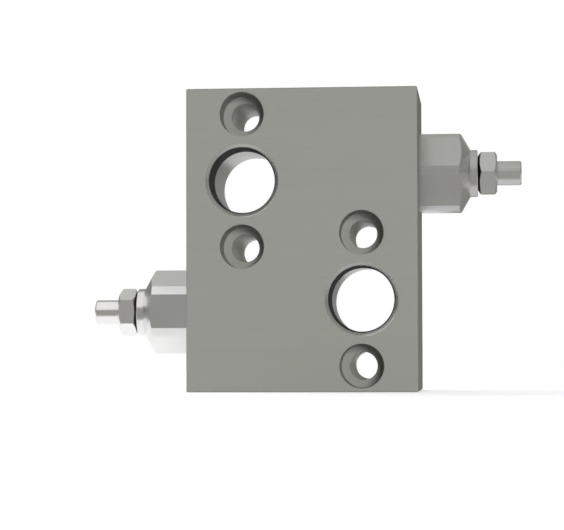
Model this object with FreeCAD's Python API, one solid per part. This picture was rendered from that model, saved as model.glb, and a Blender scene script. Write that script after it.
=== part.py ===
import FreeCAD, Part
import math
import os

# Crossover relief valve block for a hydraulic motor. A drilled manifold block carries two
# through ports and four counterbored bolt holes, and two equal relief cartridges are screwed
# into its sides. Each cartridge lets oil pass from one port to the other above a set pressure.
# The origin is the centre of the block. X runs along the cartridges, Y runs through the ports
# from the pipe side to the motor side, and Z is up. Lengths are in millimetres, angles in degrees.

# Manifold block
block_width = 94.0
block_height = 123.5
block_thickness = 62.0
block_edge_chamfer = 0.4

# Ports through the block, at opposite corners of a square
port_pitch_x = 48.5
port_pitch_z = 48.5
port_thread_d = 27.0
port_thread_depth = 19.5
port_mouth_d = 30.0
port_bore_d = 28.4
port_seal_recess_d = 34.0
port_seal_recess_depth = 2.0

# Bolt holes above and below each port
bolt_pitch = 54.0
bolt_hole_d = 11.5
bolt_head_d = 18.0
bolt_head_depth = 14.0

# Cartridge outside the block, measured outward from the block's side face
cartridge_rise = 4.3
hex_across_flats = 32.0
hex_corner_d = 34.9
hex_length = 16.7
cone_angle = 60.0
collar_d = 19.5
collar_length = 3.0
collar_edge = 0.3

# Cartridge inside the block, as depths below the block's side face
shoulder_seal_section = 2.9
shoulder_neck_d = 24.0
cartridge_thread_d = 27.0
thread_start = 4.5
thread_end = 17.5
thread_runout = 1.0
tube_d = 24.6
tube_end = 30.0
gallery_d = 25.0
outlet_depth = 35.0
gallery_end = 41.0
nose_d = 19.9
nose_end = 49.0
nose_end_space = 1.5
inlet_hole_d = 12.0

# Bores of the cartridge body
chamber_d = 16.0
chamber_top = 15.0
spigot_depth = 22.0
spigot_d = 18.0

# Seat sleeve
sleeve_d = 21.0
guide_bore_d = 13.0
guide_bore_end = 31.5
outlet_chamber_d = 15.0
outlet_hole_d = 5.0
outlet_holes = 6
seat_face_depth = 40.5
inlet_bore_d = 9.0
seat_bevel = 0.8
nose_seal_section = 2.0
nose_seal_gap = 0.1
backup_ring_width = 1.2
nose_groove_start = 44.4
nose_edge = 0.6

# Poppet
poppet_tip_d = 4.8
poppet_head_d = 11.8
poppet_head_land = 0.8
poppet_neck_d = 8.0
skirt_start = 31.3
poppet_back = 24.0
vent_hole_d = 1.5

# Spring and the plunger that loads it
spring_wire_d = 2.5
spring_mean_d = 9.8
spring_coils = 6.0
spring_ground = 0.35
pilot_d = 6.8
pilot_length = 4.0
plunger_front = -1.0
plunger_back = 10.0
plunger_groove_centre = 4.5
plunger_seal_section = 1.6

# Adjusting screw, lock nut and the nut's seal
screw_d = 10.0
screw_standout = 10.1
screw_end_chamfer = 0.5
screw_point_d = 7.2
screw_point_length = 2.0
screw_socket_af = 5.0
screw_socket_depth = 6.0
nut_across_flats = 17.0
nut_height = 8.0
nut_seat_d = 14.1
nut_face_d = 15.2
nut_chamfer_angle = 30.0
nut_seal_section = 1.3

# Cross drillings and their plugs
drilling_d = 8.0
plug_thread_d = 9.7
plug_length = 8.0
plug_depth = 0.6
plug_socket_af = 5.0
plug_socket_depth = 4.0

# Clearances: static parts, sliding parts on radius, and flat seats that nearly touch
static_fit = 0.05
slide_fit = 0.04
seat_gap = 0.05

port_x = port_pitch_x / 2
port_z = port_pitch_z / 2
cartridge_z = port_z + cartridge_rise
cone_length = (hex_corner_d - collar_d) / 2 / math.tan(math.radians(cone_angle))
collar_start = hex_length + cone_length
collar_end = collar_start + collar_length
nut_end = collar_end + nut_height
screw_end = nut_end + screw_standout
nose_bore_r = nose_d / 2 + static_fit

ORIGIN = FreeCAD.Vector(0, 0, 0)
X_AXIS = FreeCAD.Vector(1, 0, 0)
Y_AXIS = FreeCAD.Vector(0, 1, 0)
Z_AXIS = FreeCAD.Vector(0, 0, 1)


def turned(outline):
    """A solid turned about the X axis, from an outline of (place along X, radius) pairs."""
    corners = [FreeCAD.Vector(x, 0, radius) for x, radius in outline]
    face = Part.Face(Part.makePolygon(corners + corners[:1]))
    return face.revolve(ORIGIN, X_AXIS, 360)


def rod(start, end, diameter):
    """A plain cylinder along the X axis."""
    return Part.makeCylinder(diameter / 2, end - start, FreeCAD.Vector(start, 0, 0), X_AXIS)


def hexagon(start, end, across_flats, clock):
    """A hexagonal prism along X, with a corner at the angle clock from the Y axis."""
    corner_r = across_flats / 2 / math.cos(math.radians(30))
    angles = [math.radians(clock + 60 * step) for step in range(7)]
    ring = [FreeCAD.Vector(start, corner_r * math.cos(a), corner_r * math.sin(a)) for a in angles]
    return Part.Face(Part.makePolygon(ring)).extrude(FreeCAD.Vector(end - start, 0, 0))


def seal_ring(centre, inner_r, section):
    """A round rubber ring about the X axis."""
    return Part.makeTorus(inner_r + section / 2, section / 2, FreeCAD.Vector(centre, 0, 0), X_AXIS)


def through_block(shape, x, z):
    """Turns a shape from the X axis to the Y axis, with X = 0 put on the front face at x, z."""
    shape.rotate(ORIGIN, Z_AXIS, 90)
    shape.translate(FreeCAD.Vector(x, -block_thickness / 2, z))
    return shape


def on_side(shape, side):
    """Moves a piece from the cartridge's own axis to its place on the right or left side."""
    shape.translate(FreeCAD.Vector(block_width / 2, 0, cartridge_z))
    if side == "left":
        shape.rotate(ORIGIN, Y_AXIS, 180)
    return shape


def port_cut(x, z):
    """The threaded port, its smooth bore, and the seal recess on the motor side."""
    chamfer = (port_mouth_d - port_thread_d) / 2
    recess_start = block_thickness - port_seal_recess_depth
    outline = [
        (0, 0),
        (0, port_mouth_d / 2),
        (chamfer, port_thread_d / 2),
        (port_thread_depth, port_thread_d / 2),
        (port_thread_depth, port_bore_d / 2),
        (recess_start, port_bore_d / 2),
        (recess_start, port_seal_recess_d / 2),
        (block_thickness, port_seal_recess_d / 2),
        (block_thickness, 0),
    ]
    return through_block(turned(outline), x, z)


def bolt_cut(x, z):
    """A counterbored bolt hole through the block."""
    head = rod(0, bolt_head_depth, bolt_head_d)
    hole = rod(0, block_thickness, bolt_hole_d)
    return through_block(head.fuse(hole), x, z)


def cartridge_cavity():
    """The stepped bore that takes one cartridge, and the hole from its end to the port."""
    seal_r = shoulder_neck_d / 2 + shoulder_seal_section + 2 * static_fit
    seal_depth = shoulder_seal_section + 2 * static_fit
    step_end = gallery_end + gallery_d / 2 - nose_bore_r
    nose_bore_end = nose_end + nose_end_space
    port_centre = block_width / 2 + port_x
    outline = [
        (0, 0),
        (0, seal_r),
        (-seal_depth, seal_r),
        (-seal_depth, cartridge_thread_d / 2),
        (-thread_end - thread_runout, cartridge_thread_d / 2),
        (-thread_end - thread_runout, gallery_d / 2),
        (-gallery_end, gallery_d / 2),
        (-step_end, nose_bore_r),
        (-nose_bore_end, nose_bore_r),
        (-nose_bore_end, inlet_hole_d / 2),
        (-port_centre, inlet_hole_d / 2),
        (-port_centre, 0),
    ]
    return turned(outline)


def cross_drilling():
    """The drilling from outside through the cartridge's gallery to the other port."""
    top = block_height / 2 - cartridge_z
    bottom = -port_z - cartridge_z
    place = FreeCAD.Vector(-outlet_depth, 0, bottom)
    drilling = Part.makeCylinder(drilling_d / 2, top - bottom, place, Z_AXIS)
    plug_bottom = top - plug_depth - plug_length
    plug_place = FreeCAD.Vector(-outlet_depth, 0, plug_bottom)
    return drilling.fuse(Part.makeCylinder(plug_thread_d / 2, top - plug_bottom, plug_place, Z_AXIS))


def manifold_block():
    """The block with its ports, bolt holes, cartridge cavities and cross drillings."""
    corner = FreeCAD.Vector(-block_width / 2, -block_thickness / 2, -block_height / 2)
    block = Part.makeBox(block_width, block_thickness, block_height, corner)
    block = block.makeChamfer(block_edge_chamfer, block.Edges)
    cuts = []
    for x, z in ((-port_x, port_z), (port_x, -port_z)):
        cuts.append(port_cut(x, z))
        cuts.append(bolt_cut(x, z + bolt_pitch / 2))
        cuts.append(bolt_cut(x, z - bolt_pitch / 2))
    for side in ("right", "left"):
        cuts.append(on_side(cartridge_cavity(), side))
        cuts.append(on_side(cross_drilling(), side))
    return block.cut(cuts)


def port_seal(x, z):
    """The rubber ring in a port's recess, drawn as it lies when clamped flush."""
    section = port_seal_recess_depth - seat_gap
    inner_r = port_seal_recess_d / 2 - static_fit - section
    return through_block(seal_ring(block_thickness - section / 2, inner_r, section), x, z)


def drilling_plug():
    """The threaded plug with a hexagon socket that closes a cross drilling."""
    top = block_height / 2 - cartridge_z - plug_depth
    plug = rod(0, plug_length, plug_thread_d - 2 * static_fit)
    plug = plug.cut(hexagon(plug_length - plug_socket_depth, plug_length, plug_socket_af, 0))
    plug.rotate(ORIGIN, Y_AXIS, -90)
    plug.translate(FreeCAD.Vector(-outlet_depth, 0, top - plug_length))
    return plug


def cartridge_body(clock):
    """The hexagon body with its cone, collar, mounting thread and bores."""
    corner_r = hex_corner_d / 2
    collar_r = collar_d / 2
    head = turned(
        [
            (0, 0),
            (0, corner_r),
            (hex_length, corner_r),
            (collar_start, collar_r),
            (collar_start, 0),
        ]
    )
    head = head.common(hexagon(0, collar_start, hex_across_flats, clock))
    collar = turned(
        [
            (collar_start, 0),
            (collar_start, collar_r),
            (collar_end - collar_edge, collar_r),
            (collar_end, collar_r - collar_edge),
            (collar_end, 0),
        ]
    )
    thread_r = cartridge_thread_d / 2 - static_fit
    stem = turned(
        [
            (0, 0),
            (0, shoulder_neck_d / 2),
            (-thread_start, shoulder_neck_d / 2),
            (-thread_start, thread_r),
            (-thread_end, thread_r),
            (-thread_end, tube_d / 2),
            (-tube_end, tube_d / 2),
            (-tube_end, 0),
        ]
    )
    bores = [
        rod(chamber_top, collar_end, screw_d + 2 * slide_fit),
        rod(-spigot_depth, chamber_top, chamber_d),
        rod(-tube_end, -spigot_depth, spigot_d),
    ]
    return head.fuse([collar, stem]).cut(bores).removeSplitter()


def seat_sleeve():
    """The sleeve that guides the poppet and holds its seat, the outlet holes and the nose seal."""
    groove_r = nose_bore_r - nose_seal_section - nose_seal_gap
    groove_end = nose_groove_start + backup_ring_width + nose_seal_section + 3 * nose_seal_gap
    step_r = gallery_d / 2 - nose_bore_r
    inlet_r = inlet_bore_d / 2
    outline = [
        (-spigot_depth - seat_gap, guide_bore_d / 2),
        (-spigot_depth - seat_gap, spigot_d / 2 - static_fit),
        (-tube_end, spigot_d / 2 - static_fit),
        (-tube_end, sleeve_d / 2),
        (-gallery_end + step_r / 2, sleeve_d / 2),
        (-gallery_end, nose_d / 2),
        (-nose_groove_start, nose_d / 2),
        (-nose_groove_start, groove_r),
        (-groove_end, groove_r),
        (-groove_end, nose_d / 2),
        (-nose_end + nose_edge, nose_d / 2),
        (-nose_end, nose_d / 2 - nose_edge),
        (-nose_end, inlet_r),
        (-seat_face_depth - seat_bevel, inlet_r),
        (-seat_face_depth, inlet_r + seat_bevel),
        (-seat_face_depth, outlet_chamber_d / 2),
        (-guide_bore_end, outlet_chamber_d / 2),
        (-guide_bore_end, guide_bore_d / 2),
    ]
    holes = []
    for step in range(outlet_holes):
        hole = Part.makeCylinder(outlet_hole_d / 2, sleeve_d, FreeCAD.Vector(-outlet_depth, 0, 0), Z_AXIS)
        hole.rotate(ORIGIN, X_AXIS, 360 / outlet_holes * step)
        holes.append(hole)
    return turned(outline).cut(holes)


def shoulder_seal():
    """The rubber ring under the hexagon."""
    centre = -static_fit - shoulder_seal_section / 2
    return seal_ring(centre, shoulder_neck_d / 2 + static_fit, shoulder_seal_section)


def nose_seal():
    """The rubber ring between the inlet and the outlet."""
    centre = -nose_groove_start - backup_ring_width - 2 * nose_seal_gap - nose_seal_section / 2
    return seal_ring(centre, nose_bore_r - nose_seal_gap / 2 - nose_seal_section, nose_seal_section)


def backup_ring():
    """The flat ring that supports the nose seal on its low pressure side."""
    outer_r = nose_bore_r - nose_seal_gap / 2
    start = -nose_groove_start - nose_seal_gap
    ring = rod(start - backup_ring_width, start, 2 * outer_r)
    return ring.cut(rod(start - backup_ring_width, start, 2 * (outer_r - nose_seal_section)))


def poppet():
    """The poppet: cone on its seat, neck past the outlet holes, guided skirt and spring pilot."""
    seat_line = seat_face_depth + seat_bevel + inlet_bore_d / 2 - seat_gap * math.sqrt(2)
    head_start = seat_line - poppet_head_d / 2
    outline = [
        (-poppet_back + pilot_length, 0),
        (-poppet_back + pilot_length, pilot_d / 2),
        (-poppet_back, pilot_d / 2),
        (-poppet_back, guide_bore_d / 2 - slide_fit),
        (-skirt_start, guide_bore_d / 2 - slide_fit),
        (-skirt_start, poppet_neck_d / 2),
        (-head_start + poppet_head_land, poppet_neck_d / 2),
        (-head_start + poppet_head_land, poppet_head_d / 2),
        (-head_start, poppet_head_d / 2),
        (-seat_line + poppet_tip_d / 2, poppet_tip_d / 2),
        (-seat_line + poppet_tip_d / 2, 0),
    ]
    vent_r = (poppet_neck_d + guide_bore_d) / 4
    vent = rod(-skirt_start, -poppet_back, vent_hole_d)
    vent.translate(FreeCAD.Vector(0, 0, vent_r))
    return turned(outline).cut(vent)


def spring():
    """The round wire spring between poppet and plunger, with its ends ground flat."""
    bottom = -poppet_back + seat_gap
    length = plunger_front - seat_gap - bottom
    wound = length + 2 * spring_ground
    helix = Part.makeHelix(wound / spring_coils, wound, spring_mean_d / 2)
    slope = math.atan2(wound, math.pi * spring_mean_d * spring_coils)
    along = FreeCAD.Vector(0, math.cos(slope), math.sin(slope))
    section = Part.makeCircle(spring_wire_d / 2, FreeCAD.Vector(spring_mean_d / 2, 0, 0), along)
    coil = Part.Wire(helix.Edges).makePipeShell([Part.Wire([section])], True, True)
    coil.translate(FreeCAD.Vector(0, 0, -spring_ground))
    for stone in (-spring_mean_d, length):
        corner = FreeCAD.Vector(-spring_mean_d, -spring_mean_d, stone)
        coil = coil.cut(Part.makeBox(2 * spring_mean_d, 2 * spring_mean_d, spring_mean_d, corner))
    coil.rotate(ORIGIN, Y_AXIS, 90)
    coil.translate(FreeCAD.Vector(bottom, 0, 0))
    return coil


def plunger():
    """The sealed plunger that the screw pushes against the spring."""
    outer_r = chamber_d / 2 - slide_fit
    groove_r = chamber_d / 2 - 2 * slide_fit - plunger_seal_section - static_fit
    half_groove = plunger_seal_section / 2 + 2 * static_fit
    outline = [
        (plunger_front - pilot_length, 0),
        (plunger_front - pilot_length, pilot_d / 2),
        (plunger_front, pilot_d / 2),
        (plunger_front, outer_r),
        (plunger_groove_centre - half_groove, outer_r),
        (plunger_groove_centre - half_groove, groove_r),
        (plunger_groove_centre + half_groove, groove_r),
        (plunger_groove_centre + half_groove, outer_r),
        (plunger_back, outer_r),
        (plunger_back, 0),
    ]
    return turned(outline)


def plunger_seal():
    """The rubber ring in the plunger's groove."""
    inner_r = chamber_d / 2 - 2 * slide_fit - plunger_seal_section
    return seal_ring(plunger_groove_centre, inner_r, plunger_seal_section)


def adjusting_screw():
    """The screw that sets the pressure, with a point at the plunger and a socket outside."""
    tip = plunger_back + seat_gap
    outline = [
        (tip, 0),
        (tip, screw_point_d / 2),
        (tip + screw_point_length, screw_point_d / 2),
        (tip + screw_point_length, screw_d / 2),
        (screw_end - screw_end_chamfer, screw_d / 2),
        (screw_end, screw_d / 2 - screw_end_chamfer),
        (screw_end, 0),
    ]
    return turned(outline).cut(hexagon(screw_end - screw_socket_depth, screw_end, screw_socket_af, 0))


def lock_nut(clock):
    """The nut with both ends chamfered and a recess for its seal in the seat face."""
    corner_r = nut_across_flats / 2 / math.cos(math.radians(30))
    start = collar_end + seat_gap
    slope = math.tan(math.radians(nut_chamfer_angle))
    nut = turned(
        [
            (start, 0),
            (start, nut_seat_d / 2),
            (start + (corner_r - nut_seat_d / 2) * slope, corner_r),
            (nut_end - (corner_r - nut_face_d / 2) * slope, corner_r),
            (nut_end, nut_face_d / 2),
            (nut_end, 0),
        ]
    )
    nut = nut.common(hexagon(start, nut_end, nut_across_flats, clock))
    recess_d = screw_d + 2 * (slide_fit + nut_seal_section + static_fit)
    bores = [
        rod(start, nut_end, screw_d + 2 * slide_fit),
        rod(start, start + nut_seal_section + static_fit, recess_d),
    ]
    return nut.cut(bores)


def nut_seal():
    """The square rubber ring that seals the screw's thread under the nut."""
    start = collar_end + seat_gap
    inner_d = screw_d + 2 * slide_fit
    ring = rod(start, start + nut_seal_section, inner_d + 2 * nut_seal_section)
    return ring.cut(rod(start, start + nut_seal_section, inner_d))


def save(name, shape):
    """Writes one piece, which has to be a single valid solid, to its own file."""
    if len(shape.Solids) != 1 or not shape.isValid():
        raise ValueError(name + " is not one valid solid")
    shape.Solids[0].exportStep("parts/" + name + ".step")


def main():
    os.makedirs("parts", exist_ok=True)
    save("manifold_block", manifold_block())
    save("left_port_seal", port_seal(-port_x, port_z))
    save("right_port_seal", port_seal(port_x, -port_z))
    save("upper_drilling_plug", on_side(drilling_plug(), "right"))
    save("lower_drilling_plug", on_side(drilling_plug(), "left"))
    for side, clock in (("right", 0), ("left", 30)):
        pieces = {
            "cartridge_body": cartridge_body(clock),
            "seat_sleeve": seat_sleeve(),
            "shoulder_seal": shoulder_seal(),
            "nose_seal": nose_seal(),
            "backup_ring": backup_ring(),
            "poppet": poppet(),
            "spring": spring(),
            "plunger": plunger(),
            "plunger_seal": plunger_seal(),
            "adjusting_screw": adjusting_screw(),
            "lock_nut": lock_nut(clock),
            "nut_seal": nut_seal(),
        }
        for name, shape in pieces.items():
            save(side + "_" + name, on_side(shape, side))


main()
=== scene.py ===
import math

import bmesh
import bpy
from mathutils import Matrix, Vector


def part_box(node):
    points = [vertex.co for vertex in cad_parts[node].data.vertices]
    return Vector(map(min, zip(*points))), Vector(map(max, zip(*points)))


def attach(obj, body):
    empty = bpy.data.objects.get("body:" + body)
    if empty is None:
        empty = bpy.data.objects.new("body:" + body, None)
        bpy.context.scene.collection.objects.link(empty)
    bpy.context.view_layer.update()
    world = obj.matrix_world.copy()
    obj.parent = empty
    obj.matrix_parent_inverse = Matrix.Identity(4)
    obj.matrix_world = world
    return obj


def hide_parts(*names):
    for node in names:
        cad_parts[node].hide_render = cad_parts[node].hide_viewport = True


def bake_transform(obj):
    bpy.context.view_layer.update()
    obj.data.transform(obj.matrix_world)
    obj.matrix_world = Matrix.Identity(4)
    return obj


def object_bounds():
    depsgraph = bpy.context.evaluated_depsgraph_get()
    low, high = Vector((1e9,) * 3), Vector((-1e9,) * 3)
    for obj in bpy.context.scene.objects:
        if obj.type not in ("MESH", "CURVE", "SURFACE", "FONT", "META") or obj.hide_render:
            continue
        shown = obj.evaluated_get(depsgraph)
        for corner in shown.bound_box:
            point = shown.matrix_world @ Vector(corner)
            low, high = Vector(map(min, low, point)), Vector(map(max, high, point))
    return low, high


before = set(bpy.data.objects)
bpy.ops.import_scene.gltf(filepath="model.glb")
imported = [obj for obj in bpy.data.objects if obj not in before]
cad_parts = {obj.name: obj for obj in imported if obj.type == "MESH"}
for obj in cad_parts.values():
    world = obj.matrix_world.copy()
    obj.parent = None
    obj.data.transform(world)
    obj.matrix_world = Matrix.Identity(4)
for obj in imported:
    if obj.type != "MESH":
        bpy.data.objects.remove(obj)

# Looks of a crossover relief valve: a ground steel manifold block with two zinc plated relief
# cartridges. Lengths are in metres and angles in radians unless a name says otherwise. Colours
# and levels are in linear light.

CAD_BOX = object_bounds()
MM = 0.001
SIDES = ("right", "left")
WHITE = (1.0, 1.0, 1.0, 1.0)

# Camera, fitted to the hole centres and edges of the photograph
CAMERA_PLACE = Vector((0.07288, -0.8953, -0.04543))
CAMERA_YAW = 0.09318
CAMERA_PITCH = 0.04042
CAMERA_ROLL = -0.002456
FOCAL_PIXELS = 2147.0
IMAGE_WIDTH = 564.0
SENSOR_WIDTH_MM = 36.0

# Block layout, in the part's own frame
BLOCK_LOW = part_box("manifold_block")[0]
PORT_OFFSET = 24.25 * MM
BOLT_OFFSET = 27.0 * MM
PORTS = ((-PORT_OFFSET, PORT_OFFSET), (PORT_OFFSET, -PORT_OFFSET))
BOLTS = tuple((x, z + step) for x, z in PORTS for step in (BOLT_OFFSET, -BOLT_OFFSET))
BOLT_HEAD_R = 9.0 * MM
BOLT_HEAD_DEPTH = 14.0 * MM
BOLT_HOLE_R = 5.75 * MM
PORT_MOUTH_R = 15.0 * MM
PORT_CHAMFER = 1.5 * MM

# Internal thread of each port, drawn as a ridge on the bore's wall
PORT_THREADS = tuple(zip(("upper_left_port_thread", "lower_right_port_thread"), PORTS))
PORT_THREAD_R = 13.5 * MM
PORT_THREAD_DEPTH = 19.5 * MM
PORT_THREAD_PITCH = 2.0 * MM
PORT_THREAD_RIDGE = 0.4 * MM
PORT_THREAD_START = 1.9 * MM
PORT_THREAD_TURNS = 8
RIDGE_FOOT_SHARE = 0.42
RIDGE_CREST_SHARE = 0.10
RIDGE_RUN_OUT_TURNS = 0.3
THREAD_STEPS = 96

# Relief springs, cut at the middle
WELD = 0.001 * MM
RIM_WELD = 0.03 * MM
SHARP_ANGLE = math.radians(30.0)
QUAD_CORNERS = 4

# Sockets of a colour mix node
MIX_FIRST = 6
MIX_SECOND = 7
MIX_RESULT = 2

# Masks: how far a mask fades past a machined edge, and the parts of a noise's range in use
EDGE = 0.05 * MM
NOISE_WIDE = (0.3, 0.7)
NOISE_NARROW = (0.35, 0.65)
NOISE_UPPER = (0.4, 0.65)

# Wear at sharp edges and painted shade in gaps: the part of each measure's range in use, and its
# samples
WEAR_SPAN = (0.995, 0.9)
BEVEL_SAMPLES = 6
GAP_SHADE_SPAN = (0.65, 0.25)
GAP_SHADE_SAMPLES = 12

# Block: colours, then grain, then how rough and how metallic each kind of surface is
GROUND_DARK = (0.289, 0.296, 0.266, 1.0)
GROUND_LIGHT = (0.309, 0.317, 0.285, 1.0)
GROUND_BAND = (0.288, 0.296, 0.268, 1.0)
GROUND_CLOUD = (0.308, 0.307, 0.290, 1.0)
WORN_STEEL = (0.40, 0.405, 0.385, 1.0)
MOUTH_STEEL = (0.64, 0.645, 0.62, 1.0)
# Machined steel of the port bores and bolt holes, partly painted light: lightened for the light
# that reaches into the holes
BORE_STEEL_AND_PAINTED_LIGHT = (0.67, 0.67, 0.655, 1.0)
BOLT_HOLE_STEEL_AND_PAINTED_LIGHT = (0.70, 0.71, 0.67, 1.0)
# Painted shade: the threaded part of each port is near black, for the shade in its grooves
THREAD_STEEL_PAINTED_SHADE = (0.04, 0.04, 0.037, 1.0)
GRINDING_STREAKS = (9.0, 9.0, 1500.0)
GRINDING_BANDS = (4.0, 4.0, 160.0)
CLOUD_SCALE = 22.0
TOOL_RING_SCALE = 700.0
PATCH_SHARE = 0.3
TOOL_RING_SHARE = 0.45
BLOCK_WEAR_R = 0.35 * MM
BLOCK_WEAR_SHARE = 0.5
BLOCK_EDGE_R = 0.8 * MM
GROUND_ROUGHNESS = (0.6, 0.7)
BOLT_HOLE_ROUGHNESS = 0.48
BORE_ROUGHNESS = 0.36
CHAMFER_ROUGHNESS = 0.22
GROUND_METALLIC = 0.12
BOLT_HOLE_METALLIC = 0.36
BORE_METALLIC = 0.65
CHAMFER_METALLIC = 0.85
BLOCK_SPECULAR = 0.3

# Zinc plating: how bright and how rough each piece's is, then what all share
CARTRIDGE_ZINC = (0.84, (0.21, 0.26))
NUT_ZINC = (0.90, (0.28, 0.33))
SCREW_ZINC = (0.90, (0.21, 0.26))
PLUG_ZINC = (0.6, (0.3, 0.42))
MOTTLE_SCALE = 260.0
PATCH_SCALE = 55.0
DRAWN_MARKS = (2400.0, 60.0, 60.0)
ZINC_WARMTH = 0.01
ZINC_COOLNESS = -0.005
DULL_SHARE = 0.98
BRIGHT_SHARE = 1.02
STAIN_SHARE = 0.92
STAIN_COVER = 0.2
DRAWN_HEIGHT = 0.6
MOTTLE_HEIGHT = 0.3
ZINC_WEAR_R = 0.3 * MM
ZINC_WEAR_SHARE = 0.35
ZINC_WORN_LEVEL = 0.62
ZINC_WORN_WARMTH = 0.02
# Painted shade in the gaps between pieces: how far it reaches and how dark it makes the zinc
GAP_SHADE_REACH = 1.4 * MM
GAP_SHADE_LEVEL = 0.14

# Inner steel, port threads, rubber and plastic
INNER_STEEL = (0.42, 0.28)
SPRING_STEEL = (0.25, 0.42)
STEEL_RINGS = (1800.0, 90.0, 90.0)
RING_DARK_SHARE = 0.9
RING_LIGHT_SHARE = 1.1
RING_ROUGHNESS_SPREAD = 0.12
THREAD_MARKS = (120.0, 1600.0, 120.0)
# Painted shade: the thread ridges are near black, for the shade in the grooves
THREAD_SHADED_LEVELS = (0.035, 0.055)
THREAD_ROUGHNESS = (0.4, 0.55)
THREAD_METALLIC = 0.3
RUBBER_GRAIN = 1500.0
RUBBER_LEVELS = (0.035, 0.055)
RUBBER_ROUGHNESS = (0.5, 0.68)
PLASTIC_GRAIN = 700.0
PLASTIC_LEVELS = ((0.72, 0.02), (0.80, 0.01))
PLASTIC_ROUGHNESS = (0.38, 0.5)

# Studio round the part. The floor and the world are the white background. The room is seen by
# shiny surfaces only. Its rises, edge, depth and reach are shares of its radius.
FLOOR_R = 0.9
FLOOR_SEGMENTS = 96
FLOOR_GAP = 0.05 * MM
FLOOR_LEVEL = 0.88
FLOOR_ROUGHNESS = 0.9
FLOOR_GLOW = 0.52
FLOOR_GLOSS = 0.38
ROOM_R = 4.0
ROOM_SEGMENTS = 96
ROOM_RINGS = 48
ROOM_TINT = (1.0, 1.0, 0.94, 1.0)
WALL_LEVEL = 0.305
WINDOW_FRONT_RISE = 0.36
WINDOW_BACK_RISE = 0.86
WINDOW_EDGE = -0.13
WINDOW_DEPTH = 0.25
GROUND_FRONT = -45.0 * MM
GROUND_RIGHT = 50.0 * MM
GROUND_FAR = 150.0 * MM
GROUND_LEVEL = 0.55
CEILING_RISE = 0.72
CEILING_LEVEL = 0.385
SIDE_REACH = 0.4
SIDE_LEVEL = 0.22
WORLD_LIGHT = 0.12

# Slots of the room's materials, in the order in which make_room adds them
WALL = 0
GROUND = 1
CEILING = 2
SIDE = 3


def camera_basis():
    """The camera's right, up and forward directions."""
    forward = Vector(
        (
            -math.sin(CAMERA_YAW) * math.cos(CAMERA_PITCH),
            math.cos(CAMERA_YAW) * math.cos(CAMERA_PITCH),
            math.sin(CAMERA_PITCH),
        )
    )
    level = Vector((math.cos(CAMERA_YAW), math.sin(CAMERA_YAW), 0.0))
    rise = level.cross(forward)
    right = math.cos(CAMERA_ROLL) * level + math.sin(CAMERA_ROLL) * rise
    up = math.cos(CAMERA_ROLL) * rise - math.sin(CAMERA_ROLL) * level
    return right, up, forward


def make_camera():
    """The camera at the photograph's viewpoint."""
    data = bpy.data.cameras.new("camera")
    data.sensor_fit = "HORIZONTAL"
    data.sensor_width = SENSOR_WIDTH_MM
    data.lens = FOCAL_PIXELS / IMAGE_WIDTH * SENSOR_WIDTH_MM
    camera = bpy.data.objects.new("camera", data)
    right, up, forward = camera_basis()
    turn = Matrix((right, up, -forward)).transposed()
    camera.matrix_world = Matrix.Translation(CAMERA_PLACE) @ turn.to_4x4()
    bpy.context.collection.objects.link(camera)
    bpy.context.scene.camera = camera


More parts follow.
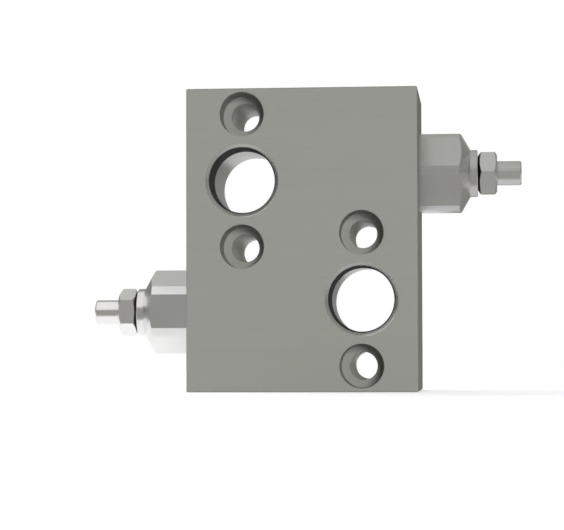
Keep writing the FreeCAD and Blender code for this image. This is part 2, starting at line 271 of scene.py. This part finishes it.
class Nodes:
    """A material's node tree, with short calls for the nodes that the finishes share."""

    def __init__(self, name):
        self.material = bpy.data.materials.new(name)
        self.material.use_nodes = True
        self.tree = self.material.node_tree
        self.shader = self.tree.nodes["Principled BSDF"]
        self.place = self.add("ShaderNodeTexCoord").outputs["Object"]

    def add(self, kind, **settings):
        made = self.tree.nodes.new(kind)
        for key, value in settings.items():
            setattr(made, key, value)
        return made

    def join(self, source, socket):
        """Links a socket, or sets it when the source is a plain value."""
        if isinstance(source, bpy.types.NodeSocket):
            self.tree.links.new(source, socket)
        else:
            socket.default_value = source

    def math(self, operation, first, second):
        made = self.add("ShaderNodeMath", operation=operation)
        self.join(first, made.inputs[0])
        self.join(second, made.inputs[1])
        return made.outputs[0]

    def stretched(self, scale):
        """The part's own coordinates, scaled along each axis."""
        made = self.add("ShaderNodeMapping")
        self.join(self.place, made.inputs["Vector"])
        self.join(scale, made.inputs["Scale"])
        return made.outputs[0]

    def noise(self, vector, scale=1.0, detail=3.0, rough=0.5):
        made = self.add("ShaderNodeTexNoise")
        self.join(vector, made.inputs["Vector"])
        self.join(scale, made.inputs["Scale"])
        self.join(detail, made.inputs["Detail"])
        self.join(rough, made.inputs["Roughness"])
        return made.outputs["Fac"]

    def ramp(self, value, low, high, dark=0.0, light=1.0):
        """Maps value from low..high to dark..light, held at both ends."""
        made = self.add("ShaderNodeMapRange")
        self.join(value, made.inputs["Value"])
        self.join(low, made.inputs["From Min"])
        self.join(high, made.inputs["From Max"])
        self.join(dark, made.inputs["To Min"])
        self.join(light, made.inputs["To Max"])
        return made.outputs[0]

    def choose(self, mask, outside, inside):
        """One number outside a mask and another inside it."""
        return self.ramp(mask, 0.0, 1.0, outside, inside)

    def mix(self, share, first, second):
        """A colour between two, by a share from 0 to 1."""
        made = self.add("ShaderNodeMix", data_type="RGBA")
        self.join(share, made.inputs["Factor"])
        self.join(first, made.inputs[MIX_FIRST])
        self.join(second, made.inputs[MIX_SECOND])
        return made.outputs[MIX_RESULT]

    def bump(self, height, distance, strength, normal=None):
        made = self.add("ShaderNodeBump")
        self.join(strength, made.inputs["Strength"])
        self.join(distance, made.inputs["Distance"])
        self.join(height, made.inputs["Height"])
        if normal is not None:
            self.join(normal, made.inputs["Normal"])
        return made.outputs[0]

    def axis(self, letter):
        """The part's own coordinate along X, Y or Z."""
        made = self.add("ShaderNodeSeparateXYZ")
        self.join(self.place, made.inputs[0])
        return made.outputs[letter]

    def rounded(self, radius):
        """The surface's direction with its edges rounded off."""
        soft = self.add("ShaderNodeBevel", samples=BEVEL_SAMPLES)
        self.join(radius, soft.inputs["Radius"])
        return soft.outputs[0]

    def edge_wear(self, radius):
        """How near the surface is to a sharp edge, from 0 to 1."""
        flat = self.add("ShaderNodeNewGeometry").outputs["Normal"]
        made = self.add("ShaderNodeVectorMath", operation="DOT_PRODUCT")
        self.join(self.rounded(radius), made.inputs[0])
        self.join(flat, made.inputs[1])
        return self.ramp(made.outputs["Value"], *WEAR_SPAN)

    def painted_gap_shade(self, reach):
        """Painted shade: how closed in the surface is by what lies within reach of it, from 0 to 1.
        """
        made = self.add("ShaderNodeAmbientOcclusion", samples=GAP_SHADE_SAMPLES)
        self.join(reach, made.inputs["Distance"])
        return self.ramp(made.outputs["AO"], *GAP_SHADE_SPAN)

    def finish(self, colour, roughness, metallic, normal=None):
        self.join(colour, self.shader.inputs["Base Color"])
        self.join(roughness, self.shader.inputs["Roughness"])
        self.join(metallic, self.shader.inputs["Metallic"])
        if normal is not None:
            self.join(normal, self.shader.inputs["Normal"])
        return self.material


def grey(level, warmth=0.0):
    """A grey, warmer or cooler."""
    return (level * (1.0 + warmth), level, level * (1.0 - warmth), 1.0)


def nearest_axis(nodes, places):
    """The distance from the nearest of several axes along Y."""
    across, height = nodes.axis("X"), nodes.axis("Z")
    least = None
    for x, z in places:
        made = nodes.add("ShaderNodeCombineXYZ")
        nodes.join(nodes.math("SUBTRACT", across, x), made.inputs[0])
        nodes.join(nodes.math("SUBTRACT", height, z), made.inputs[1])
        length = nodes.add("ShaderNodeVectorMath", operation="LENGTH")
        nodes.join(made.outputs[0], length.inputs[0])
        distance = length.outputs["Value"]
        least = distance if least is None else nodes.math("MINIMUM", least, distance)
    return least


def block_steel():
    """Finely ground grey steel, with machined ports and bolt holes partly lightened by painted
    light, and cut threads darkened to near black by painted shade.
    """
    nodes = Nodes("block_ground_steel")
    streaks = nodes.noise(nodes.stretched(GRINDING_STREAKS), detail=4.0, rough=0.6)
    bands = nodes.noise(nodes.stretched(GRINDING_BANDS), detail=2.0)
    cloud = nodes.noise(nodes.place, CLOUD_SCALE, detail=2.0)
    shade = nodes.mix(nodes.ramp(streaks, *NOISE_WIDE), GROUND_DARK, GROUND_LIGHT)
    shade = nodes.mix(nodes.ramp(bands, *NOISE_NARROW, light=PATCH_SHARE), shade, GROUND_BAND)
    shade = nodes.mix(nodes.ramp(cloud, *NOISE_UPPER, light=PATCH_SHARE), shade, GROUND_CLOUD)
    wear = nodes.math("MULTIPLY", nodes.edge_wear(BLOCK_WEAR_R), BLOCK_WEAR_SHARE)
    shade = nodes.mix(wear, shade, WORN_STEEL)

    from_bolt, from_port = nearest_axis(nodes, BOLTS), nearest_axis(nodes, PORTS)
    depth = nodes.math("SUBTRACT", nodes.axis("Y"), BLOCK_LOW.y)
    mouth = nodes.ramp(from_port, PORT_MOUTH_R + EDGE, PORT_MOUTH_R)
    bore = nodes.math("MULTIPLY", mouth, nodes.ramp(depth, PORT_CHAMFER, PORT_CHAMFER + EDGE))
    chamfer = nodes.math("SUBTRACT", mouth, bore)
    bolt_hole = nodes.ramp(from_bolt, BOLT_HOLE_R + EDGE, BOLT_HOLE_R)
    thread_shade_mask = nodes.math(
        "MULTIPLY",
        nodes.ramp(from_port, PORT_THREAD_R + EDGE, PORT_THREAD_R),
        nodes.ramp(depth, PORT_THREAD_DEPTH + EDGE, PORT_THREAD_DEPTH),
    )
    shade = nodes.mix(mouth, shade, MOUTH_STEEL)
    # Machined steel inside the ports and bolt holes, partly painted light
    shade = nodes.mix(bore, shade, BORE_STEEL_AND_PAINTED_LIGHT)
    shade = nodes.mix(bolt_hole, shade, BOLT_HOLE_STEEL_AND_PAINTED_LIGHT)
    # Painted shade in the threaded part of each port
    shade = nodes.mix(thread_shade_mask, shade, THREAD_STEEL_PAINTED_SHADE)

    turns = nodes.add("ShaderNodeCombineXYZ")
    nodes.join(from_bolt, turns.inputs[0])
    rings = nodes.noise(turns.outputs[0], TOOL_RING_SCALE, rough=0.7)
    counterbore = nodes.math(
        "MULTIPLY",
        nodes.ramp(from_bolt, BOLT_HEAD_R, BOLT_HEAD_R - EDGE),
        nodes.ramp(depth, BOLT_HEAD_DEPTH + 2 * EDGE, BOLT_HEAD_DEPTH + EDGE),
    )
    ring_share = nodes.ramp(rings, *NOISE_NARROW, light=TOOL_RING_SHARE)
    shade = nodes.mix(nodes.math("MULTIPLY", counterbore, ring_share), shade, WORN_STEEL)

    height = nodes.math("ADD", streaks, nodes.math("MULTIPLY", rings, counterbore))
    normal = nodes.bump(
        height, distance=0.02 * MM, strength=0.5, normal=nodes.rounded(BLOCK_EDGE_R)
    )
    roughness = nodes.ramp(streaks, *NOISE_WIDE, *GROUND_ROUGHNESS)
    roughness = nodes.choose(bolt_hole, roughness, BOLT_HOLE_ROUGHNESS)
    roughness = nodes.choose(bore, roughness, BORE_ROUGHNESS)
    roughness = nodes.choose(chamfer, roughness, CHAMFER_ROUGHNESS)
    metallic = nodes.choose(bolt_hole, GROUND_METALLIC, BOLT_HOLE_METALLIC)
    metallic = nodes.choose(bore, metallic, BORE_METALLIC)
    metallic = nodes.choose(chamfer, metallic, CHAMFER_METALLIC)
    nodes.join(BLOCK_SPECULAR, nodes.shader.inputs["Specular IOR Level"])
    return nodes.finish(shade, roughness, metallic, normal)


def zinc(name, level, roughness):
    """Bright zinc plating on turned steel, with fine tool marks, a soft, mottled shine and painted
    shade in the gaps between pieces.
    """
    nodes = Nodes(name)
    mottle = nodes.noise(nodes.place, MOTTLE_SCALE, detail=4.0, rough=0.6)
    patches = nodes.noise(nodes.place, PATCH_SCALE, detail=2.0)
    drawn = nodes.noise(nodes.stretched(DRAWN_MARKS))
    warm = grey(level * DULL_SHARE, ZINC_WARMTH)
    cool = grey(level * BRIGHT_SHARE, ZINC_COOLNESS)
    stain = grey(level * STAIN_SHARE, ZINC_WARMTH)
    shade = nodes.mix(nodes.ramp(patches, *NOISE_NARROW), warm, cool)
    shade = nodes.mix(nodes.ramp(mottle, *NOISE_WIDE, light=STAIN_COVER), shade, stain)
    wear = nodes.math("MULTIPLY", nodes.edge_wear(ZINC_WEAR_R), ZINC_WEAR_SHARE)
    shade = nodes.mix(wear, shade, grey(ZINC_WORN_LEVEL, ZINC_WORN_WARMTH))
    # Painted shade: the zinc darkens where other pieces close it in, as in the gap between nut and
    # collar
    shade = nodes.mix(nodes.painted_gap_shade(GAP_SHADE_REACH), shade, grey(GAP_SHADE_LEVEL))
    height = nodes.math(
        "ADD",
        nodes.math("MULTIPLY", drawn, DRAWN_HEIGHT),
        nodes.math("MULTIPLY", mottle, MOTTLE_HEIGHT),
    )
    normal = nodes.bump(height, distance=0.006 * MM, strength=0.15)
    return nodes.finish(shade, nodes.ramp(mottle, *NOISE_WIDE, *roughness), 1.0, normal)


def oiled_steel(name, level, roughness):
    """Ground or peened steel of the inner pieces."""
    nodes = Nodes(name)
    rings = nodes.noise(nodes.stretched(STEEL_RINGS))
    shade = nodes.mix(rings, grey(level * RING_DARK_SHARE), grey(level * RING_LIGHT_SHARE))
    normal = nodes.bump(rings, distance=0.01 * MM, strength=0.5)
    rough = nodes.ramp(rings, *NOISE_WIDE, roughness, roughness + RING_ROUGHNESS_SPREAD)
    return nodes.finish(shade, rough, 1.0, normal)


def rubber():
    """Matt black rubber of the seal rings."""
    nodes = Nodes("seal_black_rubber")
    grain = nodes.noise(nodes.place, RUBBER_GRAIN, detail=2.0)
    shade = nodes.mix(grain, *map(grey, RUBBER_LEVELS))
    normal = nodes.bump(grain, distance=0.02 * MM, strength=0.4)
    return nodes.finish(shade, nodes.ramp(grain, *NOISE_WIDE, *RUBBER_ROUGHNESS), 0.0, normal)


def ring_plastic():
    """Milky plastic of the backup rings."""
    nodes = Nodes("ring_milky_plastic")
    grain = nodes.noise(nodes.place, PLASTIC_GRAIN, detail=2.0)
    shade = nodes.mix(grain, *(grey(level, warmth) for level, warmth in PLASTIC_LEVELS))
    normal = nodes.bump(grain, distance=0.01 * MM, strength=0.3)
    return nodes.finish(shade, nodes.ramp(grain, *NOISE_WIDE, *PLASTIC_ROUGHNESS), 0.0, normal)


def thread_steel_painted_shade():
    """Cut steel of the port threads, darkened to near black by painted shade of the thread grooves.
    """
    nodes = Nodes("thread_cut_steel_painted_shade")
    marks = nodes.noise(nodes.stretched(THREAD_MARKS))
    shade = nodes.mix(marks, *map(grey, THREAD_SHADED_LEVELS))
    rough = nodes.ramp(marks, *NOISE_WIDE, *THREAD_ROUGHNESS)
    normal = nodes.bump(marks, distance=0.02 * MM, strength=0.4)
    return nodes.finish(shade, rough, THREAD_METALLIC, normal)


def dress(node, material):
    """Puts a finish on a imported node."""
    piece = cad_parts[node]
    for slot in piece.material_slots:
        slot.material = material


def dress_all():
    """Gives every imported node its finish."""
    steel = oiled_steel("inner_ground_steel", *INNER_STEEL)
    coil = oiled_steel("spring_peened_steel", *SPRING_STEEL)
    plug = zinc("plug_zinc", *PLUG_ZINC)
    black = rubber()
    dress("manifold_block", block_steel())
    for node in ("upper_drilling_plug", "lower_drilling_plug"):
        dress(node, plug)
    for node in ("left_port_seal", "right_port_seal"):
        dress(node, black)
    finishes = {
        "cartridge_body": zinc("cartridge_zinc", *CARTRIDGE_ZINC),
        "lock_nut": zinc("nut_zinc", *NUT_ZINC),
        "adjusting_screw": zinc("screw_zinc", *SCREW_ZINC),
        "seat_sleeve": steel,
        "poppet": steel,
        "plunger": steel,
        "spring": coil,
        "shoulder_seal": black,
        "nose_seal": black,
        "plunger_seal": black,
        "nut_seal": black,
        "backup_ring": ring_plastic(),
    }
    for side in SIDES:
        for node, material in finishes.items():
            dress(side + "_" + node, material)


def as_object(name, mesh):
    """Turns mesh code into an object of the scene."""
    data = bpy.data.meshes.new(name)
    mesh.to_mesh(data)
    mesh.free()
    made = bpy.data.objects.new(name, data)
    bpy.context.collection.objects.link(made)
    return made


def coil_half(side, name, end):
    """Half of a relief spring, from one end to its middle, where the two halves meet and stay."""
    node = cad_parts[side + "_spring"]
    low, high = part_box(side + "_spring")
    middle = (low + high) / 2
    start = Vector((end, middle.y, middle.z))
    mesh = bmesh.new()
    mesh.from_mesh(node.data)
    bmesh.ops.remove_doubles(mesh, verts=mesh.verts, dist=WELD)
    everything = mesh.verts[:] + mesh.edges[:] + mesh.faces[:]
    cut = bmesh.ops.bisect_plane(
        mesh, geom=everything, plane_co=middle, plane_no=middle - start, clear_outer=True
    )
    rim = [item for item in cut["geom_cut"] if isinstance(item, bmesh.types.BMVert)]
    bmesh.ops.remove_doubles(mesh, verts=rim, dist=RIM_WELD)
    bmesh.ops.dissolve_degenerate(mesh, edges=mesh.edges, dist=WELD)
    bmesh.ops.holes_fill(mesh, edges=[edge for edge in mesh.edges if edge.is_boundary])
    wide = [face for face in mesh.faces if len(face.verts) > QUAD_CORNERS]
    bmesh.ops.triangulate(mesh, faces=wide)
    bmesh.ops.recalc_face_normals(mesh, faces=mesh.faces)
    for face in mesh.faces:
        face.smooth = True
    for edge in mesh.edges:
        edge.smooth = edge.calc_face_angle(math.pi) < SHARP_ANGLE
    piece = as_object(name, mesh)
    piece.data.materials.append(node.material_slots[0].material)
    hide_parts(side + "_spring")
    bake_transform(piece)


def coil_springs():
    """The relief springs, each as two half coils, so that they close up from either end."""
    for side in SIDES:
        low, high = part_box(side + "_spring")
        inner, outer = (low.x, high.x) if side == "right" else (high.x, low.x)
        coil_half(side, side + "_spring_poppet_half", inner)
        coil_half(side, side + "_spring_plunger_half", outer)


def thread_ridge(name, x, z, material):
    """The helical ridge of one port's internal thread, from root to crest, as a closed strip."""
    mesh = bmesh.new()
    foot = RIDGE_FOOT_SHARE * PORT_THREAD_PITCH
    crest = RIDGE_CREST_SHARE * PORT_THREAD_PITCH
    total = PORT_THREAD_TURNS * THREAD_STEPS
    start = BLOCK_LOW.y + PORT_THREAD_START
    rows = []
    for step in range(total + 1):
        angle = 2 * math.pi * step / THREAD_STEPS
        centre = start + PORT_THREAD_PITCH * step / THREAD_STEPS
        grown = min(1.0, min(step, total - step) / (RIDGE_RUN_OUT_TURNS * THREAD_STEPS))
        inner = PORT_THREAD_R - PORT_THREAD_RIDGE * grown
        profile = ((-foot, PORT_THREAD_R), (-crest, inner), (crest, inner), (foot, PORT_THREAD_R))
        row = []
        for along, radius in profile:
            place = (x + radius * math.cos(angle), centre + along, z + radius * math.sin(angle))
            row.append(mesh.verts.new(place))
        rows.append(row)
    for before, after in zip(rows, rows[1:]):
        for one in range(len(before)):
            two = (one + 1) % len(before)
            mesh.faces.new((before[one], before[two], after[two], after[one]))
    mesh.faces.new(rows[0])
    mesh.faces.new(rows[-1])
    bmesh.ops.recalc_face_normals(mesh, faces=mesh.faces)
    piece = as_object(name, mesh)
    piece.data.materials.append(material)
    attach(piece, "root")


def port_threads():
    """The internal threads of both ports."""
    material = thread_steel_painted_shade()
    for name, (x, z) in PORT_THREADS:
        thread_ridge(name, x, z, material)


def shining(nodes, strength, tint=WHITE):
    """Adds a glow of that strength to a material."""
    glow = nodes.add("ShaderNodeEmission")
    nodes.join(tint, glow.inputs["Color"])
    nodes.join(strength, glow.inputs["Strength"])
    both = nodes.add("ShaderNodeAddShader")
    nodes.join(nodes.shader.outputs[0], both.inputs[0])
    nodes.join(glow.outputs[0], both.inputs[1])
    nodes.join(both.outputs[0], nodes.tree.nodes["Material Output"].inputs["Surface"])


def floor_glow(nodes):
    """The floor's glow: most for the camera, less off shiny things, so that the lit floor reads as
    white in both, and none for lighting."""
    path = nodes.add("ShaderNodeLightPath")
    seen = nodes.math("MAXIMUM", path.outputs["Is Camera Ray"], path.outputs["Is Transmission Ray"])
    return nodes.math(
        "MAXIMUM",
        nodes.math("MULTIPLY", seen, FLOOR_GLOW),
        nodes.math("MULTIPLY", path.outputs["Is Glossy Ray"], FLOOR_GLOSS),
    )


def make_floor():
    """A plain white table top that reads as the white background and keeps a soft shadow."""
    bpy.ops.mesh.primitive_circle_add(vertices=FLOOR_SEGMENTS, radius=FLOOR_R, fill_type="NGON")
    floor = bpy.context.object
    floor.location = (0.0, 0.0, CAD_BOX[0].z - FLOOR_GAP)
    floor.name = "floor"
    nodes = Nodes("floor_white")
    nodes.finish(grey(FLOOR_LEVEL), FLOOR_ROUGHNESS, 0.0)
    shining(nodes, floor_glow(nodes))
    floor.data.materials.append(nodes.material)


def room_dome():
    """The room's walls and ceiling, with the ceiling open at the left."""
    mesh = bmesh.new()
    bmesh.ops.create_uvsphere(
        mesh, u_segments=ROOM_SEGMENTS, v_segments=ROOM_RINGS, radius=ROOM_R
    )
    upward = (0.0, 0.0, 1.0)
    cuts = (
        ((0.0, 0.0, 0.0), (1.0, 0.0, -WINDOW_EDGE)),
        ((0.0, 0.0, WINDOW_FRONT_RISE * ROOM_R), upward),
        ((0.0, 0.0, WINDOW_BACK_RISE * ROOM_R), upward),
        ((0.0, WINDOW_DEPTH * ROOM_R, 0.0), (0.0, 1.0, 0.0)),
        ((0.0, 0.0, CEILING_RISE * ROOM_R), upward),
    )
    for point, across in cuts:
        everything = mesh.verts[:] + mesh.edges[:] + mesh.faces[:]
        bmesh.ops.bisect_plane(mesh, geom=everything, plane_co=point, plane_no=across)
    opening = []
    for face in mesh.faces:
        way = face.calc_center_median().normalized()
        rise = WINDOW_FRONT_RISE if way.y < WINDOW_DEPTH else WINDOW_BACK_RISE
        if way.z > rise and way.x < WINDOW_EDGE * way.z:
            opening.append(face)
        elif way.z > CEILING_RISE:
            face.material_index = CEILING
        elif abs(way.x) > SIDE_REACH and abs(way.z) < WINDOW_FRONT_RISE:
            face.material_index = SIDE
    bmesh.ops.delete(mesh, geom=opening, context="FACES")
    return mesh


def room_ground(mesh, left, right, front, back, finish):
    """Adds a sheet of ground to the room, just above the white floor."""
    height = CAD_BOX[0].z + FLOOR_GAP
    corners = ((left, front), (right, front), (right, back), (left, back))
    sheet = mesh.faces.new([mesh.verts.new((x, y, height)) for x, y in corners])
    sheet.material_index = finish


def make_room():
    """The grey studio room, for shiny surfaces only: walls with dark sides, a ceiling that is open
    to the white world at the left, and the ground in front and to the right of the part."""
    mesh = room_dome()
    room_ground(mesh, GROUND_RIGHT, ROOM_R, GROUND_FAR, ROOM_R, SIDE)
    room_ground(mesh, -ROOM_R, ROOM_R, -ROOM_R, GROUND_FRONT, WALL)
    room_ground(mesh, GROUND_RIGHT, ROOM_R, GROUND_FRONT, GROUND_FAR, GROUND)
    room = as_object("studio_room", mesh)
    finishes = (
        ("studio_room_grey", WALL_LEVEL, ROOM_TINT),
        ("studio_ground_pale", GROUND_LEVEL, WHITE),
        ("studio_ceiling_pale", CEILING_LEVEL, ROOM_TINT),
        ("studio_side_dark", SIDE_LEVEL, ROOM_TINT),
    )
    for name, level, tint in finishes:
        nodes = Nodes(name)
        nodes.finish(grey(0.0), 1.0, 0.0)
        shining(nodes, level, tint)
        room.data.materials.append(nodes.material)
    room.visible_camera = False
    room.visible_diffuse = False
    room.visible_shadow = False
    room.visible_transmission = False


def make_world():
    """White background for camera, gloss and glass, and a softer level for lighting."""
    world = bpy.data.worlds.new("studio")
    bpy.context.scene.world = world
    world.use_nodes = True
    tree = world.node_tree
    path = tree.nodes.new("ShaderNodeLightPath")
    shiny = tree.nodes.new("ShaderNodeMath")
    shiny.operation = "MAXIMUM"
    seen = tree.nodes.new("ShaderNodeMath")
    seen.operation = "MAXIMUM"
    strength = tree.nodes.new("ShaderNodeMapRange")
    tree.links.new(path.outputs["Is Camera Ray"], shiny.inputs[0])
    tree.links.new(path.outputs["Is Glossy Ray"], shiny.inputs[1])
    tree.links.new(shiny.outputs[0], seen.inputs[0])
    tree.links.new(path.outputs["Is Transmission Ray"], seen.inputs[1])
    tree.links.new(seen.outputs[0], strength.inputs["Value"])
    strength.inputs["To Min"].default_value = WORLD_LIGHT
    strength.inputs["To Max"].default_value = 1.0
    back = tree.nodes["Background"]
    back.inputs["Color"].default_value = WHITE
    tree.links.new(strength.outputs[0], back.inputs["Strength"])


def softbox(name, place, size, radiance):
    """A square area light that faces the part, as bright as radiance says."""
    data = bpy.data.lights.new(name, "AREA")
    data.size = size
    data.energy = radiance * math.pi * size * size
    light = bpy.data.objects.new(name, data)
    light.location = place
    light.rotation_mode = "QUATERNION"
    light.rotation_quaternion = Vector(place).to_track_quat("Z", "Y")
    light.visible_glossy = False
    bpy.context.collection.objects.link(light)


bpy.context.scene.view_settings.view_transform = "Standard"
make_camera()
dress_all()
coil_springs()
port_threads()
make_floor()
make_room()
make_world()
softbox("front", place=(0.6, -2.05, 0.24), size=0.6, radiance=33.0)
softbox("key", place=(-1.6, 0.3, 1.1), size=1.2, radiance=4.5)
softbox("rear", place=(-0.5, 1.6, 1.6), size=1.2, radiance=3.0)
